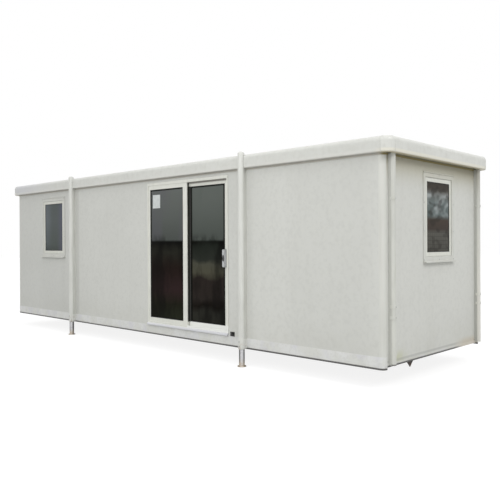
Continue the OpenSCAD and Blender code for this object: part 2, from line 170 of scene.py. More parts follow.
base_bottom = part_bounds("base_rail_front")[0].z
base_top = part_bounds("base_rail_front")[1].z
end_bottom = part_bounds("base_rail_right")[0].z
end_split_y, split_blend = 0.75, 0.35
beyond_cabin = 2 * cad_box[1][1]
side_paint = channel_paint("side_channel_paint", "#dddedc", "#d6d7d2", base_bottom, 0.026, beyond_cabin)
side_paint.dress("base_rail_front", "base_rail_back", "base_corners")
end_paint = channel_paint("end_channel_paint", "#cfd0cb", "#c9cac4", end_bottom, 0.024, end_split_y)
end_paint.dress("base_rail_left", "base_rail_right")


# Floor: sawn softwood joists between the side channels, and flooring board on top of them with a worn
# grey-brown vinyl face. Both show from below and through the open door.
timber = Finish("sawn_joist_timber", Roughness=0.8)
grain = timber.patches(9, 0.3, 0.7, stretch=(14, 0.5, 14), detail=6)
timber.start("#8a6d48", "#a98a5e", grain)
timber.lay("#6f5b42", 0.5, timber.patches(3))
timber.relief(grain, 0.0008)
timber.dress("floor_joists")

board = Finish("floor_board_vinyl", Roughness=0.42)
speckle = board.patches(220, 0.42, 0.6)
board.start("#857b70", "#93897c", speckle)
board.lay("#6d655c", 0.4, board.patches(2.5))
board.relief(speckle, 0.0002)
board.dress("floor_deck")


# Walls: foam-cored panels faced with steel that has a fine leather-grain plastic coating. Rain has left faint
# streaks, splashed dirt and a tide line mark the foot, and algae tints the foot of the end walls beside the
# front downpipes. Painted shade darkens the end walls under the eaves, and the wall beside each leg tube.
def band(finish, middle, core, reach, axis):
    """A mask of 1 within a core distance of a place along an axis, which fades to 0 at its reach."""
    above = finish.fade(middle + core, middle + reach, axis)
    return finish.product(above, finish.fade(middle - core, middle - reach, axis))


end_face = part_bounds("right_end_wall")[1].x


def at_ends(finish, full=end_face - 0.001, none=end_face - 0.061):
    """A mask of 1 from one distance off the middle along X, at both ends, which fades to 0 at another."""
    right = finish.fade(full, none, axis=0)
    return finish.reckon("MAXIMUM", right, finish.fade(-full, -none, axis=0))


def middle_of(node):
    """Middle of a CAD node's box."""
    low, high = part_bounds(node)
    return (low + high) / 2


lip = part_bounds("fascia_front")[0].z
eaves_reach, eaves_shade_reach = 0.42, 0.26
tide_z, foot_z = end_bottom + 0.060, end_bottom + 0.05
pipe_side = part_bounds("downpipes")[0].y
leg_left = middle_of("jack_leg_front_left")
leg_right = middle_of("jack_leg_back_right")
wall = Finish("grained_wall_coating", Roughness=0.6)
wall.start("#cecfca", "#d3d4cf", wall.patches(0.55))
wall.lay("#c1c2bd", 0.30, wall.patches(21, 0.46, 0.68))
wall.lay("#b4b4ac", 0.09, wall.patches(1.9, 0.54, 0.74, stretch=(4, 4, 0.3), detail=4))
wall.lay("#b7b6a9", 0.16, wall.fade(base_top, base_top + 0.42), wall.patches(5, 0.3, 0.68))
ends = at_ends(wall)
algae_foot = wall.product(wall.fade(base_top - 0.03, base_top + 0.08), wall.patches(8, 0.22, 0.50))
algae_back = wall.fade(pipe_side + 0.182, pipe_side + 0.512, axis=1)
algae_front = wall.fade(pipe_side + 0.082, pipe_side + 0.042, axis=1)
wall.lay("#bfc2a2", 0.6, algae_foot, ends, algae_back, algae_front)
# Painted shade: the end walls darken under the eaves in tan, then brown near the top, browner towards the
# back.
wall.lay("#a8a48c", 0.58, wall.fade(lip, lip - eaves_reach), ends)
eaves_shade = wall.product(wall.fade(lip, lip - eaves_shade_reach), ends)
wall.lay("#746830", 0.28, eaves_shade)
wall.lay("#6a5f34", 0.28, eaves_shade, wall.fade(1.1, -0.1, axis=1))
tide = wall.product(band(wall, tide_z, 0.006, 0.020, axis=2), ends)
wall.lay("#9f9f9d", 0.45, tide, wall.fade(end_split_y - split_blend, end_split_y, axis=1))
tan_foot = wall.product(wall.fade(foot_z, foot_z + 0.09), ends)
wall.lay("#b8a585", 0.40, tan_foot, wall.fade(end_split_y + 0.05, end_split_y - split_blend, axis=1))
# Painted shade: the walls darken towards the left end.
wall.lay("#b7b9b6", 0.22, wall.fade(leg_left.x - 0.46, leg_left.x - 0.06, axis=0))
# Painted shade: the walls are a little darker a short way in from the right end.
wall.lay("#b4b5b0", 0.12, band(wall, end_face - 0.761, 0.45, 0.74, axis=0))
# Painted shade: a grey band on the wall beside each leg tube, towards the right end, stronger at the left
# tube.
for leg_x, strength in ((leg_left.x, 0.32), (leg_right.x, 0.12)):
    wall.lay("#b0b1ab", strength, band(wall, leg_x + 0.105, 0.030, 0.080, axis=0))
cells = wall.node("ShaderNodeTexVoronoi", {"Vector": wall.place, "Scale": 230.0}, feature="SMOOTH_F1")
wall.relief(cells.outputs["Distance"], 0.0006)
wall.dress("front_wall_window_bay", "front_wall_centre", "front_wall_door_strip", "front_wall_right_bay",
           "front_wall_lintel", "back_wall", "left_end_wall", "right_end_wall")


# Corner posts: pressed steel with a round outer corner, sprayed smooth, so they catch more light than the
# grained panels that butt against them.
post = Finish("corner_post_paint", Roughness=0.42)
post.start("#cfd0ca", "#d3d4ce", post.patches(1.8))
post.lay("#bdbcb4", 0.25, post.patches(5, 0.52, 0.7, stretch=(5, 5, 0.25), detail=4))
post.relief(post.patches(300, 0.2, 0.8), 0.00015)
post.dress("corner_posts")


# Roof: a sheet-covered insulated panel that falls to both long sides, grey from weather, with dried puddle
# rings, and lined white underneath. Folded standing seams run across it, held at their ends by the roof edge.
roof_low, roof_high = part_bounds("roof_panel")
roof = Finish("weathered_roof_sheet", Roughness=0.62)
roof.start("#b4b6b3", "#bfc0bc", roof.patches(0.9))
roof.lay("#a19f95", 0.4, roof.patches(1.7, 0.5, 0.56, detail=5))
roof.lay("#8f8d82", 0.5, roof.patches(60, 0.6, 0.72))
roof.lay("#dcddd8", roof.fade(roof_low.z + 0.02, roof_low.z + 0.04))
roof.relief(roof.patches(90), 0.0005)
roof.dress("roof_panel")


def new_object(name, data):
    """An object linked into the scene."""
    made = bpy.data.objects.new(name, data)
    bpy.context.scene.collection.objects.link(made)
    return made


def add_piece(name, mesh, finish, body):
    """A finished mesh in its place as a piece of the cabin."""
    mesh.name = name
    mesh.materials.clear()
    mesh.materials.append(finish.material)
    piece = new_object(name, mesh)
    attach(piece, body)
    return piece


def turn_to_mesh(name, source, finish, body):
    """Replaces a piece made by Geometry Nodes or modifiers by its plain result, riding on a body."""
    evaluated = source.evaluated_get(bpy.context.evaluated_depsgraph_get())
    result = bpy.data.meshes.new_from_object(evaluated)
    source.modifiers.clear()
    bpy.data.objects.remove(source)
    return add_piece(name, result, finish, body)


def new_group(name, inputs, output):
    """A Geometry Nodes group with named inputs and one output: the group and the sockets of its inputs."""
    group = bpy.data.node_groups.new(name, "GeometryNodeTree")
    for label, kind in inputs.items():
        group.interface.new_socket(label, in_out="INPUT", socket_type="NodeSocket" + kind)
    group.interface.new_socket(output, in_out="OUTPUT", socket_type="NodeSocketGeometry")
    return group, add_node(group, "NodeGroupInput").outputs


def end_group(group, geometry, finish, output):
    """Makes what a group has built real geometry with a finish, and hands it out."""
    real = add_node(group, "GeometryNodeRealizeInstances", {"Geometry": geometry}).outputs[0]
    done = add_node(group, "GeometryNodeSetMaterial", {"Geometry": real, "Material": finish}).outputs[0]
    add_node(group, "NodeGroupOutput", {output: done})
    return group


def sweeping_group():
    """Geometry Nodes: sweeps a rectangular section along every edge of the mesh that it is given."""
    inputs = {"Lines": "Geometry", "Seam Width": "Float", "Seam Height": "Float", "Finish": "Material"}
    group, given = new_group("standing_seams", inputs, "Seams")
    lines = add_node(group, "GeometryNodeMeshToCurve", {"Mesh": given["Lines"]}).outputs[0]
    size = {"Width": given["Seam Width"], "Height": given["Seam Height"]}
    section = add_node(group, "GeometryNodeCurvePrimitiveQuadrilateral", size).outputs[0]
    swept = add_node(group, "GeometryNodeCurveToMesh",
                     {"Curve": lines, "Profile Curve": section, "Fill Caps": True}).outputs[0]
    return end_group(group, swept, given["Finish"], "Seams")


def grow(name, verts, edges, group, settings):
    """An object of points and edges that a Geometry Nodes group with these named inputs grows on."""
    mesh = bpy.data.meshes.new(name)
    mesh.from_pydata(verts, edges, [])
    source = new_object(name, mesh)
    modifier = source.modifiers.new("grow", "NODES")
    modifier.node_group = group
    for socket in group.interface.items_tree:
        if socket.name in settings:
            modifier[socket.identifier] = settings[socket.name]
    return source


def sweep(name, verts, edges, width, height, finish):
    """A rectangular section swept along edges, as one piece on the cabin."""
    settings = {"Seam Width": width, "Seam Height": height, "Finish": finish.material}
    source = grow(name + "_source", verts, edges, edge_sweep, settings)
    return turn_to_mesh(name, source, finish, "cabin")


edge_sweep = sweeping_group()
seam_count, seam_width, seam_height, seam_lift = 8, 0.022, 0.020, 0.004
seam_end = roof_high.y - 0.045
roof_side_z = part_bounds("fascia_front")[1].z - 0.040
fall = (roof_high.z - roof_side_z) / roof_high.y
verts, edges = [], []
for i in range(seam_count):
    x = roof_low.x + (i + 0.5) * (roof_high.x - roof_low.x) / seam_count
    for y in (-seam_end, 0.0, seam_end):
        verts.append((x, y, roof_high.z - fall * abs(y) + seam_lift))
    edges += [(3 * i, 3 * i + 1), (3 * i + 1, 3 * i + 2)]
sweep("roof_seams", verts, edges, seam_width, seam_height, roof)


# Roof edge: glass-fibre mouldings that lap onto the roof and hang over the wall tops, with a smooth gel coat.
# A painted highlight brightens the lower lip, warmer at the ends, and painted shade darkens the underside.
edge_low, edge_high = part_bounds("fascia_front")
edge = Finish("roof_edge_gel_coat", Roughness=0.38)
edge.start("#d0d1cc", "#d5d6d1", edge.patches(1.1))
edge.lay("#c2c2bb", 0.35, edge.patches(14, 0.46, 0.7))
edge.lay("#bab9af", 0.10, edge.patches(5, 0.5, 0.72, stretch=(5, 5, 0.4), detail=5))
ends = at_ends(edge, end_face + 0.049, end_face - 0.111)
edge.lay("#c9cad2", 0.55, edge.fade(0.011 - end_face, leg_left.x - 0.46, axis=0))
# Painted highlight on the lower lip, warm at the ends.
lip_highlight = edge.over(ends, colour("#d8d8d2"), colour("#e6e1cd"))
edge.lay(lip_highlight, 0.5, edge.fade(lip + 0.030, lip + 0.055))
# Painted shade on the underside, tan at the ends.
underside_shade = edge.over(ends, colour("#b2b0aa"), colour("#bcb396"))
edge.lay(underside_shade, 0.85, edge.fade(lip + 0.001, lip + 0.010))
edge.relief(edge.patches(18), 0.0006)
edge.dress("fascia_front", "fascia_back", "fascia_left", "fascia_right", "fascia_corners")


# Closer strip: a ring of grey foam pressed between the wall tops and the roof edge before that is screwed
# down. It is set there to show the dark line of shade under the lip, and is painted brown at the ends as the
# shade under the end eaves.
foam = Finish("closer_foam_and_shade", Roughness=0.9)
cell = foam.patches(500, 0.3, 0.7)
foam.start("#bdbab1", "#c9c6bd", cell)
# Painted shade: brown at the ends, under the end eaves.
foam.lay(foam.over(cell, colour("#8c825a"), colour("#998e68")), at_ends(foam))
foam.relief(cell, 0.0005)


def skin(shape, loops, closed=False):
    """Joins each loop of points to the next: closed joins the last to the first, otherwise both get a lid."""
    following = loops[1:] + loops[:1] if closed else loops[1:]
    for a, b in zip(loops, following):
        for i in range(len(a)):
            j = (i + 1) % len(a)
            shape.faces.new((a[i], a[j], b[j], b[i]))
    if not closed:
        shape.faces.new(loops[0])
        shape.faces.new(loops[-1])


def to_mesh(shape, name):
    """The mesh of a finished shape, with its faces turned outward."""
    bmesh.ops.recalc_face_normals(shape, faces=shape.faces)
    mesh = bpy.data.meshes.new(name)
    shape.to_mesh(mesh)
    shape.free()
    return mesh


half_length, half_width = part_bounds("corner_posts")[1].x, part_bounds("corner_posts")[1].y
post_radius, corner_steps = 0.058, 8
strip_inner, strip_outer, strip_low, strip_high = -0.0005, 0.0045, lip - 0.019, lip + 0.004
section = ((strip_outer, strip_low), (strip_outer, strip_high),
           (strip_inner, strip_high), (strip_inner, strip_low))
shape = bmesh.new()
loops = []
for out, z in section:
    loop = []
    for quarter, (sx, sy) in enumerate(((1, 1), (-1, 1), (-1, -1), (1, -1))):
        for step in range(corner_steps + 1):
            turn = math.radians(90 * quarter + 90 * step / corner_steps)
            loop.append(shape.verts.new((
                sx * (half_length - post_radius) + (post_radius + out) * math.cos(turn),
                sy * (half_width - post_radius) + (post_radius + out) * math.sin(turn), z)))
    loops.append(loop)
skin(shape, loops, closed=True)
add_piece("closer_strip", to_mesh(shape, "closer_strip"), foam, "cabin")


# Roof edge joints: a bead of grey-white sealant gunned over each butt joint between a straight moulding and a
# corner moulding, from the lip up over the round edge and onto the lap.
sealant = Finish("joint_sealant", Roughness=0.45)
sealant.start("#cacbc5", "#d4d5cf", sealant.patches(35))
sealant.relief(sealant.patches(120), 0.0004)
bead_width, bead_height = 0.007, 0.004
edge_radius = 0.058
edge_depth = edge_high.y - edge_low.y
top = edge_high.z
outer_x, outer_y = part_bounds("fascia_corners")[1].x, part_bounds("fascia_corners")[1].y
joint_x, joint_y = edge_high.x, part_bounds("fascia_right")[1].y
outline = [(0.014, lip + 0.001), (0.004, lip + 0.005), (0.0, lip + 0.018)]
for degrees in range(0, 91, 15):
    turn = math.radians(degrees)
    outline.append((edge_radius * (1 - math.cos(turn)), top - edge_radius * (1 - math.sin(turn))))
outline.append((edge_depth - 0.004, top))
verts, edges = [], []
for side in (-1, 1):
    for end in (-1, 1):
        along_front = [(end * joint_x, side * (outer_y - inward), z) for inward, z in outline]
        along_end = [(side * (outer_x - inward), end * joint_y, z) for inward, z in outline]
        for bead in (along_front, along_end):
            edges += [(len(verts) + i, len(verts) + i + 1) for i in range(len(bead) - 1)]
            verts += bead
sweep("roof_edge_joint_beads", verts, edges, bead_width, bead_height, sealant)


# Leg tubes: round steel tube in welded brackets on the base, with domed caps above the roof edge, sprayed the
# same pale grey as the corner posts. Rust weeps from the brackets' weld.
tube = Finish("leg_tube_paint", Roughness=0.40)
tube.start("#d2d3ce", "#d9dad5", tube.patches(2.4))
tube.lay("#b9b8b0", 0.30, tube.patches(8, 0.5, 0.7, stretch=(5, 5, 0.3), detail=4))
tube.lay("#8f6a4c", 0.35, tube.fade(base_bottom, base_top), tube.patches(26, 0.54, 0.64))
tube.relief(tube.patches(260, 0.2, 0.8), 0.0002)
tube.dress("leg_housings", "leg_caps", "leg_brackets")


# Tube backing: a pressed steel saddle strip bonded to the wall behind each leg tube before the tube goes in.
# It closes the gap between tube and wall from the base to the eaves.
upward = Vector((0, 0, 1))


def saddle(shape, axis, inward, depth, radius, low, high):
    """Adds an upright strip that fills the gap between a round tube and the wall behind it."""
    along = Vector((-inward.y, inward.x, 0))
    outline = [along * -radius + inward * depth, along * radius + inward * depth]
    for degrees in range(0, 181, 15):
        turn = math.radians(degrees)
        outline.append(along * radius * math.cos(turn) + inward * radius * math.sin(turn))
    skin(shape, [[shape.verts.new(axis + p + upward * z) for p in outline] for z in (low, high)])


backing = Finish("backing_strip_paint", Roughness=0.55)
# Painted shade: a little darker than the wall beside the tubes, and darker again at the ends, behind the
# downpipes.
backing.start("#c3c4be", "#cacbc5", backing.patches(3))
backing.lay("#a7a8a2", 0.5, at_ends(backing))
backing.lay("#a9a9a1", 0.3, backing.patches(9, 0.5, 0.7, stretch=(4, 4, 0.3), detail=4))
seat = 0.0005
tubes_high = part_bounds("leg_housings")[1]
tube_radius = tubes_high.x - leg_right.x
leg_y = tubes_high.y - tube_radius
bracket_low, bracket_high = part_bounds("leg_brackets")
leg_axes = [Vector((x, y, 0)) for x in (leg_left.x, leg_right.x) for y in (-leg_y, leg_y)]
shape = bmesh.new()
for axis in leg_axes:
    inward = Vector((0, -math.copysign(1, axis.y), 0))
    depth = abs(axis.y) - half_width + seat
    saddle(shape, axis, inward, depth, tube_radius + 0.00035, bracket_high.z, lip - 0.002)
add_piece("tube_backing_strips", to_mesh(shape, "tube_backing_strips"), backing, "cabin")


# Leg welds: a ring of weld round each steel tube above and below its bracket, run by hand once the tube
# stands in place, and painted over with it.
weld_radius, weld_size, weld_lift, ring_steps = tube_radius + 0.00075, 0.005, 0.0015, 32
verts, edges = [], []
for axis in leg_axes:
    for z in (bracket_low.z - weld_lift, bracket_high.z + weld_lift):
        start = len(verts)
        for step in range(ring_steps):
            turn = 2 * math.pi * step / ring_steps
            verts.append((axis.x + weld_radius * math.cos(turn), axis.y + weld_radius * math.sin(turn), z))
            edges.append((start + step, start + (step + 1) % ring_steps))
sweep("leg_welds", verts, edges, weld_size, weld_size, tube)


# Windows and door: white hollow plastic profiles with welded corners, their edges slightly rounded. Dust
# greys the flat tops and the corners; a painted highlight whitens the foot of the sliding half.
def round_edges(name, node, width, finish, body):
    """A copy of a CAD node with its sharp edges rounded, which stands for the node."""
    shape = bmesh.new()
    shape.from_mesh(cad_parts[node].data)
    bmesh.ops.remove_doubles(shape, verts=shape.verts, dist=1e-5)
    bmesh.ops.dissolve_limit(shape, angle_limit=math.radians(1), verts=shape.verts, edges=shape.edges)
    mesh = bpy.data.meshes.new(name + "_source")
    shape.to_mesh(mesh)
    shape.free()
    source = new_object(name + "_source", mesh)
    bevel = source.modifiers.new("round", "BEVEL")
    bevel.width, bevel.segments, bevel.limit_method = width, 2, "ANGLE"
    bevel.angle_limit = math.radians(40)
    piece = turn_to_mesh(name, source, finish, body)
    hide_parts(node)
    return piece


sill_low, sill_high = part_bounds("door_sill")
sub_cill_top = sill_low.z + 0.035
slide_glass_low, slide_glass_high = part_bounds("sliding_leaf_glass")
profile = Finish("white_profile", Roughness=0.30)
profile.start("#dbdcd4", "#e1e2da", profile.patches(2.5))
profile.lay("#c9c8bd", 0.32, profile.patches(11, 0.5, 0.72, stretch=(2, 2, 0.6), detail=5))
profile.lay("#d3d4d8", profile.fade(sub_cill_top - 0.003, sub_cill_top))
highlight_top = profile.fade(slide_glass_low.z + 0.0072, slide_glass_low.z + 0.0132)
highlight_left = profile.fade(slide_glass_low.x - 0.0115, slide_glass_low.x - 0.0175, axis=0)
highlight_foot = profile.fade(sub_cill_top + 0.002, sub_cill_top - 0.001)
# Painted highlight: the foot of the sliding half is whitened.
profile.lay("#f0f1ee", 0.8, highlight_top, highlight_left, highlight_foot)
profile.relief(profile.patches(45), 0.0002)

trim = Finish("window_trim_coating", Roughness=0.4)
trim.start("#c8c9c3", "#cdcec8", trim.patches(2.5))
trim.lay("#bdbcb2", 0.3, trim.patches(13, 0.48, 0.7, detail=5))
# Painted shade: the end windows' trims darken under the eaves, as the end walls do.
trim.lay("#a8a48c", 0.58, trim.fade(lip, lip - eaves_reach), at_ends(trim))
trim.relief(trim.patches(60), 0.0002)
round_edges("window_frame_profiles", "window_frames", 0.0025, trim, "cabin")

sash = Finish("window_sash_profile", Roughness=0.34)
sash.start("#d3d4cb", "#d9dad2", sash.patches(2.5))
sash.lay("#c0bfb4", 0.35, sash.patches(11, 0.5, 0.72, stretch=(2, 2, 0.6), detail=5))
sash.relief(sash.patches(45), 0.0002)
round_edges("window_sash_profiles", "window_sashes", 0.004, sash, "cabin")

for node in ("door_head", "door_sill", "door_jamb_left", "door_jamb_right"):
    round_edges(node + "_profile", node, 0.0015, profile, "cabin")
round_edges("fixed_leaf_profile", "fixed_leaf", 0.004, profile, "cabin")
round_edges("sliding_leaf_profile", "sliding_leaf", 0.004, profile, "sliding_door")


# Glass: sealed units with a dark spacer bar round the edge, widened on the sliding leaf as painted shade from
# its stiles. Their colours are painted reflection: smoky grey sky above eye level, dull olive and brown
# below.
def heights(finish, stops, place=None):
    """A colour that goes from one to the next at given heights in metres, lowest first."""
    up = finish.node("ShaderNodeSeparateXYZ", {0: place or finish.place}).outputs[2]
    low, high = stops[0][0], stops[-1][0]
    along = finish.node("ShaderNodeMapRange", {"Value": up, "From Min": low, "From Max": high}).outputs[0]
    ramp = finish.node("ShaderNodeValToRGB", {0: along})
    for _ in range(len(stops) - 2):
        ramp.color_ramp.elements.new(0.5)
    for element, (height, code) in zip(ramp.color_ramp.elements, stops):
        element.position, element.color = (height - low) / (high - low), colour(code)
    return ramp.outputs[0]


def glass_with_painted_reflection(node, stops, sky_reflection, rims):
    """Gives a leaf's glass its look: painted reflection in dark olive and brown below eye level, grey sky
    above, dark at its rims.
    """
    glass = Finish(node, Roughness=0.05, Specular_IOR_Level=0.02)
    cloud = glass.node("ShaderNodeTexNoise", {"Vector": glass.place, "Scale": 2.6, "Detail": 3.0}).outputs[1]
    pushed = {0: cloud, 1: (warp, warp, warp), 2: glass.place}
    moved = glass.node("ShaderNodeVectorMath", pushed, operation="MULTIPLY_ADD").outputs[0]
    centred = {0: moved, 1: (warp / 2, warp / 2, warp / 2)}
    warped = glass.node("ShaderNodeVectorMath", centred, operation="SUBTRACT").outputs[0]
    glass.show(heights(glass, stops, warped))
    glass.lay("#080706", 0.60, glass.patches(4.5, 0.46, 0.62, stretch=(1, 1, 0.35), detail=4))
    lower = glass.shade
    steps = (eye_level, eye_level + 0.35, eye_level + 0.8)
    glass.show(heights(glass, tuple(zip(steps, sky_reflection))))
    glass.lay(sky_reflection[3], 0.4, glass.patches(2.2, 0.42, 0.6, stretch=(1, 1, 0.3)))
    reflection_haze = glass.patches(7, 0.48, 0.60, stretch=(1, 1, 0.5), detail=5)
    glass.lay("#2f322f", 0.65, reflection_haze, glass.fade(eye_level, eye_level + 0.13))
    glass.lay(lower, glass.fade(eye_level - 0.02, eye_level + 0.02))
    low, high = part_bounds(node)
    left, right, head, foot = rims
    # Dark rims: the spacer bar, widened on the sliding leaf as painted shade from its stiles.
    for start, inward, axis in ((low.x, left, 0), (high.x, -right, 0), (high.z, -head, 2), (low.z, foot, 2)):
        glass.lay("#141512", 0.92, glass.fade(start + inward * 0.7, start + inward, axis))
    glass.dress(node)


eye_level, warp = 1.665, 0.30
glass_with_painted_reflection("fixed_leaf_glass",
            ((0.45, "#25281d"), (0.70, "#1c1c12"), (0.95, "#2d2020"), (1.25, "#1f1612"), (1.50, "#24241e"),
             (1.66, "#0c0c0a")),
            ("#4c504d", "#5b5f5c", "#676b68", "#5c5a62"), (0.030, 0.014, 0.026, 0.020))
glass_with_painted_reflection("sliding_leaf_glass",
            ((0.45, "#2a2a25"), (0.66, "#2a2a25"), (0.76, "#15110c"), (0.86, "#2a2522"), (1.12, "#2a2421"),
             (1.22, "#4b4a3e"), (1.33, "#49493f"), (1.40, "#2a2d28"), (1.57, "#1f231e"), (1.66, "#0d0f0b")),
            ("#4b504c", "#595e5a", "#656a66", "#555c57"), (0.048, 0.034, 0.026, 0.020))


def part_box(node, keep):
    """Lowest and highest corner of those points of a CAD node that pass a test."""
    points = [v.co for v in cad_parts[node].data.vertices if keep(v.co)]
    return [Vector([pick(p[i] for p in points) for i in range(3)]) for pick in (min, max)]


front_low, front_high = part_box("window_panes", lambda p: abs(p.x) < end_face - 0.2)
end_low, end_high = part_box("window_panes", lambda p: p.x > end_face - 0.2)
pane_middle_x, pane_middle_z = (front_low.x + front_high.x) / 2, (front_low.z + front_high.z) / 2
screen_cell, screen_top, reflection_blotches_z = 0.05, 1.74, 2.09
# Painted reflection: the windows' glass shows a grey sky fading green to the left and blue to the right on
# the front, and light blotches in dark bands on the ends.
window = Finish("window_glass", Roughness=0.05, Specular_IOR_Level=0.04)
window.show(heights(window, ((1.50, "#434a4a"), (1.62, "#575e5f"), (2.05, "#676d72"), (2.37, "#63696d"))))
window.lay("#4b514b", 0.55, window.fade(pane_middle_x - 0.022, pane_middle_x - 0.302, axis=0))
window.lay("#5e5e72", 0.45, window.fade(pane_middle_x + 0.278, pane_middle_x + 0.078, axis=0))
front = window.shade
window.show(heights(window, ((1.50, "#4b4a44"), (1.74, "#55544e"), (1.79, "#3d352f"), (1.90, "#443a32"),
                             (1.96, "#55605f"), (2.12, "#687170"), (2.25, "#5b5954"), (2.29, "#403b34"),
                             (2.37, "#38332c"))))
reflection_blotches = window.patches(5.0, 0.46, 0.74, stretch=(1, 1, 1.6), detail=1.0)
window.lay("#bcc2c3", 0.75, reflection_blotches, band(window, reflection_blotches_z, 0.09, 0.18, axis=2))
window.lay("#2b2823", 0.6, window.patches(6, 0.48, 0.34, stretch=(1, 1, 1.8), detail=1.0))
quarter_turn = (0, math.radians(90), 0)
upright = window.node("ShaderNodeMapping", {"Vector": window.place, "Rotation": quarter_turn}).outputs[0]
white, black = (1, 1, 1, 1), (0, 0, 0, 1)
squares = window.node("ShaderNodeTexBrick", {
    "Vector": upright, "Color1": white, "Color2": white, "Mortar": black, "Scale": 1 / screen_cell,
    "Mortar Size": 0.08, "Brick Width": 1.0, "Row Height": 1.0}, offset=0.0).outputs[0]
wires = window.reckon("SUBTRACT", 1.0, squares)
window.lay("#1f1f1b", 0.35, window.fade(screen_top, screen_top + 0.06), wires)
window.show(window.over(at_ends(window, end_face - 0.111, end_face - 0.211), front, window.shade))
window.dress("window_panes")


# Glazing gaskets: black rubber wedges pushed between each glass unit and its profile after glazing, mitred at
# the corners and showing as a thin dark line.
rubber = Finish("gasket_rubber", Roughness=0.7)
rubber.start("#1c1c1c", "#33322f", rubber.patches(40))
gasket_face, gasket_depth = 0.007, 0.0075


def gasket_piece(name, frames, body):
    """Rubber frames round glass units, each given by its middle, width, height and direction across."""
    shape = bmesh.new()
    for centre, width, height, across in frames:
        across = Vector(across)
        outward = Vector((across.y, -across.x, 0))
        loops = []
        for inset, lift in ((0, 0), (0, gasket_depth), (gasket_face, gasket_depth * 0.4), (gasket_face, 0)):
            w, h = width / 2 - inset, height / 2 - inset
            middle = Vector(centre) + outward * lift
            loops.append([shape.verts.new(middle + across * a * w + upward * b * h)
                          for a, b in ((-1, -1), (1, -1), (1, 1), (-1, 1))])
        skin(shape, loops, closed=True)
    return add_piece(name, to_mesh(shape, name), rubber, body)


for leaf, body in (("fixed_leaf", "cabin"), ("sliding_leaf", "sliding_door")):
    low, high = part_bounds(leaf + "_glass")
    middle = ((low.x + high.x) / 2, low.y, (low.z + high.z) / 2)
    gasket_piece(leaf + "_gasket", [(middle, high.x - low.x, high.z - low.z, (1, 0, 0))], body)
front_size = front_high.x - front_low.x, front_high.z - front_low.z
end_size = end_high.y - end_low.y, end_high.z - end_low.z
end_middle_y = (end_low.y + end_high.y) / 2
gasket_piece("window_gaskets", [
    ((pane_middle_x, front_low.y, pane_middle_z), *front_size, (1, 0, 0)),
    ((end_high.x, end_middle_y, pane_middle_z), *end_size, (0, 1, 0)),
    ((-end_high.x, end_middle_y, pane_middle_z), *end_size, (0, -1, 0))], "cabin")


# Door seals: black brush and cover strips pushed into grooves of the profiles: down the meeting edges of both
# leaves, beside the glass on the lock stile, and in a dull aluminium carrier under the head. They are dark
# things set where shade falls: in the meeting edge, beside the jamb and in the groove under the head.
def bar_piece(name, bars, edge, finish, body):
    """A piece of straight bars with chamfered edges, each given by its lowest and highest corner."""
    shape = bmesh.new()
    for low, high in bars:
        made = bmesh.ops.create_cube(shape, size=1.0)["verts"]
        for vert in made:
            vert.co = Vector([(a + b) / 2 + c * (b - a) for a, b, c in zip(low, high, vert.co)])
        edges = list({e for v in made for e in v.link_edges})
        bmesh.ops.bevel(shape, geom=edges, offset=edge, segments=1, affect="EDGES")
    return add_piece(name, to_mesh(shape, name), finish, body)


brush = Finish("brush_pile_and_shade", Roughness=0.85)
pile = brush.patches(700, 0.35, 0.65)
brush.start("#1e1f1b", "#30312b", pile)
brush.relief(pile, 0.0006)
fixed_low, fixed_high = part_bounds("fixed_leaf")
slide_low, slide_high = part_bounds("sliding_leaf")
brush_foot = slide_glass_low.z - 0.004
brush_low = (fixed_high.x - 0.0005, fixed_low.y + 0.014, brush_foot)
brush_high = (fixed_high.x + 0.0022, fixed_high.y - 0.001, fixed_high.z - 0.012)
bar_piece("meeting_brush", [(brush_low, brush_high)], 0.0006, brush, "cabin")
strip_front, strip_back = slide_low.y - 0.0010, slide_low.y + 0.0005
meeting_strip = ((slide_low.x + 0.006, strip_front, brush_foot),
                 (slide_glass_low.x + 0.001, strip_back, slide_glass_high.z + 0.004))
lock_strip = ((slide_glass_high.x - 0.001, strip_front, slide_glass_low.z),
              (slide_glass_high.x + 0.010, strip_back, slide_glass_high.z))
bar_piece("leaf_cover_strips", [meeting_strip, lock_strip], 0.0003, brush, "sliding_door")

carrier = Finish("brush_carrier_and_shade", Roughness=0.6)
carrier.start("#94908b", "#a29e98", carrier.patches(60, 0.35, 0.65))
head_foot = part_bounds("door_head")[1].z - 0.042
carrier_low = (fixed_high.x + 0.004, fixed_high.y + 0.0012, head_foot - 0.020)
carrier_high = (slide_high.x - 0.002, slide_low.y - 0.0012, head_foot + 0.002)
bar_piece("head_brush", [(carrier_low, carrier_high)], 0.0006, carrier, "cabin")


# Drain covers: small caps moulded in white plastic, pushed over the water slots in the outer face of the
# door's sill, one near each jamb and one in the middle.
sill_face = sill_low.y + 0.022
drain_half, drain_inset = 0.019, 0.24
drains = []
for x in (sill_low.x + drain_inset, (sill_low.x + sill_high.x) / 2, sill_high.x - drain_inset):
    drains.append(((x - drain_half, sill_face - 0.0035, sill_high.z - 0.019),
                   (x + drain_half, sill_face + seat, sill_high.z - 0.008)))
bar_piece("sill_drain_covers", drains, 0.0018, profile, "cabin")


# Door handles: cast aluminium loops screwed to both faces of the sliding leaf, satin and a little scratched,
# with a black oval lock cover in the middle of the outer grip, which also stands for the shade inside the
# loop.
handle = Finish("handle_aluminium", Metallic=1.0, Roughness=0.34)
scratch = handle.patches(60, 0.35, 0.7, stretch=(1, 1, 8), detail=5)
handle.start("#a9acad", "#c4c6c6", scratch)
handle.relief(scratch, 0.0001)
round_edges("door_handle_loops", "door_handles", 0.003, handle, "sliding_door")

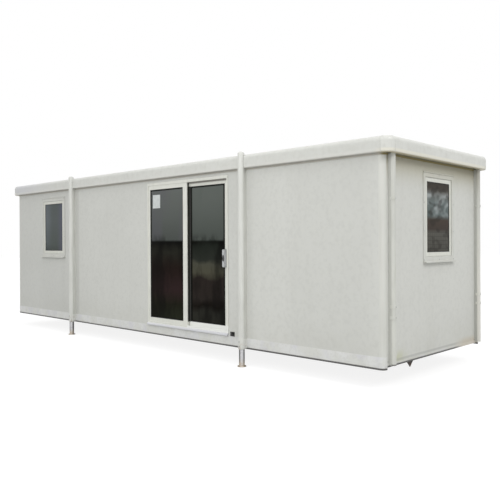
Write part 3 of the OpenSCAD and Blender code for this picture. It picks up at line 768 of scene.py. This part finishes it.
lock = Finish("lock_boss_plastic_and_shade", Roughness=0.4)
lock.start("#1d1d1e", "#2a2a2b", lock.patches(300, 0.4, 0.7))
grip = middle_of("door_handles")
grip_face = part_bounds("door_handles")[0].y + seat
oval_steps = 24
oval_rings = ((0.0170, 0.046, 0.0), (0.0170, 0.046, 0.0025), (0.0140, 0.041, 0.0040), (0.0105, 0.034, 0.0030))
shape = bmesh.new()
loops = []
for half_wide, half_high, lift in oval_rings:
    turns = [2 * math.pi * step / oval_steps for step in range(oval_steps)]
    loops.append([shape.verts.new((grip.x - half_wide * math.cos(turn), grip_face - lift,
                                   grip.z + half_high * math.sin(turn))) for turn in turns])
skin(shape, loops)
add_piece("door_lock_boss", to_mesh(shape, "door_lock_boss"), lock, "sliding_door")


# Notice: a blank white paper sheet stuck to the fixed leaf's glass, near its upper left corner, sun-bleached
# and lifting slightly at its lower corners.
paper = Finish("bleached_paper", Roughness=0.75)
paper.start("#c6cbca", "#d2d6d5", paper.patches(25))
paper.relief(paper.patches(300), 0.0002)
glass_low, glass_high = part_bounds("fixed_leaf_glass")
paper_left, paper_top, paper_width, paper_height = glass_low.x + 0.058, glass_high.z - 0.080, 0.180, 0.205
paper_steps = 8
verts, faces = [], []
for i in range(paper_steps + 1):
    for j in range(paper_steps + 1):
        across, down = i / paper_steps, j / paper_steps
        curl = 0.006 * max(0, down - 0.6) ** 2 * (2 * across - 1) ** 2
        x, z = paper_left + paper_width * across, paper_top - paper_height * down
        verts.append((x, glass_low.y - 0.002 - curl, z))
        if i < paper_steps and j < paper_steps:
            corner = (paper_steps + 1) * i + j
            faces.append((corner, corner + 1, corner + paper_steps + 2, corner + paper_steps + 1))
mesh = bpy.data.meshes.new("blank_notice_source")
mesh.from_pydata(verts, [], faces)
source = new_object("blank_notice_source", mesh)
source.modifiers.new("thickness", "SOLIDIFY").thickness = 0.0015
turn_to_mesh("blank_notice", source, paper, "cabin")


# Downpipes: grey-white plastic pipe clipped to the end walls by collars, with a saddle strip behind. Dust and
# algae streak them downwards, painted shade browns the back pipes under the eaves, and the outlets' rims on
# the front side are darker at their lower edge.
pipe = Finish("downpipe_plastic", Roughness=0.36)
pipe_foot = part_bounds("downpipes")[0].z
pipe.start("#c6c7c1", "#cecfc8", pipe.patches(2.6))
pipe.lay("#b3b3a4", 0.35, pipe.patches(9, 0.48, 0.7, stretch=(4, 4, 0.3), detail=5))
back_side = pipe.fade(1.0, 0.4, axis=1)
pipe.lay("#dad9d1", back_side, pipe.fade(1.0, 2.2))
# Painted shade: brown at the top of the back pipes, under the eaves.
pipe.lay("#6a5f44", 0.42, back_side, pipe.fade(lip, lip - 0.5))
# The front pipes' outlet rims are darker at their lower edge.
pipe.lay("#4a4845", 0.85, pipe.fade(pipe_foot + 0.012, pipe_foot + 0.018), pipe.fade(0.0, 0.4, axis=1))
pipe.relief(pipe.patches(160), 0.0001)
pipe.dress("downpipes")
collar_radius, pipe_radius = 0.039, 0.034
pipes_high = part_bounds("downpipes")[1]
pipe_x, pipe_y = pipes_high.x - collar_radius, pipes_high.y - collar_radius
shape = bmesh.new()
for end in (-1, 1):
    for side in (-1, 1):
        saddle(shape, Vector((end * pipe_x, side * pipe_y, 0)), Vector((-end, 0, 0)),
               pipe_x - half_length + seat, pipe_radius + 0.0003, pipe_foot + 0.004, lip - 0.002)
add_piece("pipe_backing_strips", to_mesh(shape, "pipe_backing_strips"), backing, "cabin")


# Fixing screws: zinc-plated screws with a washer head and a driver recess, along the roof edge's lap, round
# each window trim and through each downpipe collar, and larger bolts in the front of the leg brackets.
screw = Finish("zinc_screw", Metallic=0.6, Roughness=0.42)
screw.start("#b9bbba", "#8d8e8b", screw.patches(60, 0.4, 0.7))


def screw_head():
    """One screw head at the origin, pointing up, turned from a profile of radius and height."""
    shape = bmesh.new()
    outline = ((0.0068, -0.0005), (0.0068, 0.0010), (0.0048, 0.0017), (0.0043, 0.0036), (0.0026, 0.0042),
               (0.0019, 0.0026))
    turns = [math.pi * i / 6 for i in range(12)]
    skin(shape, [[shape.verts.new((r * math.cos(turn), r * math.sin(turn), z)) for turn in turns]
                 for r, z in outline])
    return new_object("screw_head", to_mesh(shape, "screw_head"))


def fixing_group():
    """Geometry Nodes: puts a screw head on every point, turned to the point's own outward direction."""
    inputs = {"Points": "Geometry", "Head": "Object", "Head Size": "Float", "Finish": "Material"}
    group, given = new_group("fixing_screws", inputs, "Screws")
    head = add_node(group, "GeometryNodeObjectInfo", {"Object": given["Head"]}).outputs["Geometry"]
    named = {"Name": "outward"}
    outward = add_node(group, "GeometryNodeInputNamedAttribute", named, data_type="FLOAT_VECTOR").outputs[0]
    turned = add_node(group, "FunctionNodeAlignRotationToVector", {"Vector": outward}, axis="Z").outputs[0]
    places = {"Points": given["Points"], "Instance": head, "Rotation": turned, "Scale": given["Head Size"]}
    put = add_node(group, "GeometryNodeInstanceOnPoints", places).outputs[0]
    return end_group(group, put, given["Finish"], "Screws")


def screw_piece(name, points, size):
    """Screws at points that each have an outward direction, as one piece on the cabin."""
    head = screw_head()
    settings = {"Head": head, "Head Size": size, "Finish": screw.material}
    source = grow(name + "_source", [p for p, _ in points], [], screws_on_points, settings)
    outward = source.data.attributes.new("outward", "FLOAT_VECTOR", "POINT")
    outward.data.foreach_set("vector", [c for _, direction in points for c in direction])
    piece = turn_to_mesh(name, source, screw, "cabin")
    bpy.data.objects.remove(head)
    return piece


screws_on_points = fixing_group()
rim_aside, rim_up, trim_face = 0.091, 0.0915, 0.009
front_middle = Vector((pane_middle_x, -half_width - trim_face, pane_middle_z))
end_middles = [Vector((end * (half_length + trim_face), end_middle_y, pane_middle_z)) for end in (1, -1)]
windows = [(front_middle, Vector((0, -1, 0)), front_size)]
windows += [(middle, Vector((math.copysign(1, middle.x), 0, 0)), end_size) for middle in end_middles]
third = 0.33
left_rim = [(-1, up) for up in (-1, -third, third, 1)]
right_rim = [(1, up) for up in (1, third, -third, -1)]
rim_places = left_rim + [(0, 1)] + right_rim + [(0, -1)]
points = []
for middle, outward, (width, height) in windows:
    across = Vector((abs(outward.y), abs(outward.x), 0))
    for a, b in rim_places:
        aside = across * a * (width / 2 + rim_aside)
        points.append((middle + aside + upward * b * (height / 2 + rim_up), outward))
collar_heights = (0.800, 0.920, 2.115)
for end in (-1, 1):
    for side in (-1, 1):
        for z in collar_heights:
            points.append((Vector((end * pipes_high.x, side * pipe_y, z)), Vector((end, 0, 0))))
lap_inset, lap_spacing, side_count, end_count = edge_depth - 0.020, 0.44, 20, 5
for i in range(side_count):
    x = (i - (side_count - 1) / 2) * lap_spacing
    points += [(Vector((x, side * (outer_y - lap_inset), top)), upward) for side in (-1, 1)]
for i in range(end_count):
    y = (i - (end_count - 1) / 2) * lap_spacing
    points += [(Vector((end * (outer_x - lap_inset), y, top)), upward) for end in (-1, 1)]
screw_piece("fixing_screws", points, 1.0)

bolt_inset, bolt_size = 0.028, 1.5
bolts = []
for x in (leg_left.x, leg_right.x):
    for side in (-1, 1):
        for z in (bracket_low.z + bolt_inset, bracket_high.z - bolt_inset):
            bolts.append((Vector((x, side * bracket_high.y, z)), Vector((0, side, 0))))
screw_piece("bracket_bolts", bolts, bolt_size)


# Service inlet: a plate and screw cap moulded in black plastic, screwed to the wall where the supply enters
# beside the door.
inlet = Finish("inlet_plastic", Roughness=0.5)
inlet.start("#161616", "#2c2b29", inlet.patches(120, 0.4, 0.7))
inlet.relief(inlet.patches(500), 0.0002)
inlet.dress("service_inlet")


# End lug: thick steel plate flame-cut to a triangle and welded under the end channel, with an eye through it.
# Its dark paint has partly gone to rust.
lug = Finish("lug_dark_paint", Roughness=0.65)
scale = lug.patches(40, 0.45, 0.62)
lug.start("#35322f", "#5b3f2d", scale)
lug.relief(scale, 0.0004)
lug.dress("end_lug")


# Sliding legs: galvanised tube with a welded round foot. The zinc is pale with a faint spangle, two sides are
# painted dark as the shade at the leg's edges, and the foot is caked with dried, tan mud.
leg = Finish("galvanised_leg", Roughness=0.5)
spangle = leg.node("ShaderNodeTexVoronoi", {"Vector": leg.place, "Scale": 90.0}).outputs["Color"]
leg.start("#d2d2d6", "#dfdfe2", leg.node("ShaderNodeSeparateColor", {0: spangle}).outputs[0])
leg.lay("#a09c98", 0.3, leg.patches(30, 0.5, 0.66))
spot = leg.node("ShaderNodeSeparateXYZ", {0: leg.place}).outputs
off_middle = leg.reckon("SUBTRACT", spot[0], (leg_left.x + leg_right.x) / 2)
across = leg.reckon("SUBTRACT", leg.reckon("ABSOLUTE", off_middle), (leg_right.x - leg_left.x) / 2)
across = leg.product(across, leg.reckon("SIGN", off_middle))
outward = leg.reckon("SUBTRACT", leg.reckon("ABSOLUTE", spot[1]), leg_y)
aside = leg.reckon("ABSOLUTE", leg.reckon("SUBTRACT", across, outward))
levels = {"Value": aside, "From Min": 0.016, "From Max": 0.044}
side_shade = leg.node("ShaderNodeMapRange", levels, interpolation_type="SMOOTHSTEP").outputs[0]
# Painted shade: dark stripes down two sides of each leg.
leg.lay("#3d3c3b", 0.95, side_shade)
leg.lay("#c7b8a2", 0.75, leg.fade(0.02, 0.12), leg.patches(25, 0.2, 0.5))
leg.relief(leg.patches(140), 0.0004)
leg.dress("jack_leg_front_left", "jack_leg_front_right", "jack_leg_back_left", "jack_leg_back_right")


# Stage: a pale floor, an even sky that is brightest overhead, two large soft lamps on the camera's side, and
# the camera where the photograph was taken from.
def seen_ray(tree):
    """1 for rays that show the background: from the camera, in gloss and through glass."""
    ray = add_node(tree, "ShaderNodeLightPath").outputs
    seen = ray["Is Camera Ray"]
    for kind in ("Is Glossy Ray", "Is Transmission Ray"):
        seen = add_node(tree, "ShaderNodeMath", {0: seen, 1: ray[kind]}, operation="MAXIMUM").outputs[0]
    return seen


white, reach = (1, 1, 1, 1), 60.0
corners = [(-reach, -reach, 0), (reach, -reach, 0), (reach, reach, 0), (-reach, reach, 0)]
floor_mesh = bpy.data.meshes.new("floor")
floor_mesh.from_pydata(corners, [], [(0, 1, 2, 3)])
floor = new_object("floor", floor_mesh)
floor_finish = bpy.data.materials.new("pale_floor")
floor_finish.use_nodes = True
tree = floor_finish.node_tree
tree.nodes.clear()
matt = add_node(tree, "ShaderNodeBsdfDiffuse", {"Color": (0.50, 0.50, 0.49, 1)}).outputs[0]
shadowed = add_node(tree, "ShaderNodeBsdfDiffuse", {"Color": (0.22, 0.22, 0.22, 1)}).outputs[0]
glow = add_node(tree, "ShaderNodeEmission", {"Color": white, "Strength": 0.86}).outputs[0]
pale = add_node(tree, "ShaderNodeAddShader", {0: shadowed, 1: glow}).outputs[0]
mixed = add_node(tree, "ShaderNodeMixShader", {0: seen_ray(tree), 1: matt, 2: pale}).outputs[0]
add_node(tree, "ShaderNodeOutputMaterial", {"Surface": mixed})
floor_mesh.materials.append(floor_finish)

sky = bpy.data.worlds.new("studio_sky")
bpy.context.scene.world = sky
sky.use_nodes = True
tree = sky.node_tree
tree.nodes.clear()
aim = add_node(tree, "ShaderNodeTexCoord").outputs["Generated"]
rise = add_node(tree, "ShaderNodeSeparateXYZ", {0: aim}).outputs[2]
levels = {"Value": rise, "From Min": 0.0, "From Max": 0.9, "To Min": 0.64, "To Max": 1.04}
strength = add_node(tree, "ShaderNodeMapRange", levels).outputs[0]
lighting = add_node(tree, "ShaderNodeBackground", {"Color": white, "Strength": strength}).outputs[0]
backdrop = add_node(tree, "ShaderNodeBackground", {"Color": white, "Strength": 1.0}).outputs[0]
mixed = add_node(tree, "ShaderNodeMixShader", {0: seen_ray(tree), 1: lighting, 2: backdrop}).outputs[0]
add_node(tree, "ShaderNodeOutputWorld", {"Surface": mixed})

lamp_size = 5.0
for name, place, aim, power in (("end_lamp", (12.5, -3.0, 9.5), (4.3, 0.0, 1.3), 420),
                                ("front_lamp", (2.8, -9.0, 5.5), (1.0, -1.2, 1.3), 190)):
    lamp_data = bpy.data.lights.new(name, "AREA")
    lamp_data.shape, lamp_data.size, lamp_data.energy = "DISK", lamp_size, power
    lamp = new_object(name, lamp_data)
    lamp.location = place
    lamp.rotation_euler = (Vector(aim) - Vector(place)).to_track_quat("-Z", "Y").to_euler()

camera_data = bpy.data.cameras.new("photo_camera")
camera_data.sensor_width, camera_data.lens = 36.0, 44.338
camera_data.shift_x, camera_data.shift_y = -0.0307, -0.0130
camera = new_object("photo_camera", camera_data)
camera_place = (7.9271, -7.0133, 1.6389)
yaw, pitch, roll = math.radians(42.838), math.radians(-0.130), math.radians(-0.269)
ahead = Vector((-math.sin(yaw), math.cos(yaw), 0))
right = Vector((math.cos(yaw), math.sin(yaw), 0))
look = ahead * math.cos(pitch) + upward * math.sin(pitch)
level_up = upward * math.cos(pitch) - ahead * math.sin(pitch)
side = right * math.cos(roll) + level_up * math.sin(roll)
up = level_up * math.cos(roll) - right * math.sin(roll)
camera.matrix_world = Matrix.Translation(camera_place) @ Matrix((side, up, -look)).transposed().to_4x4()
bpy.context.scene.camera = camera
bpy.context.scene.view_settings.view_transform = "Standard"
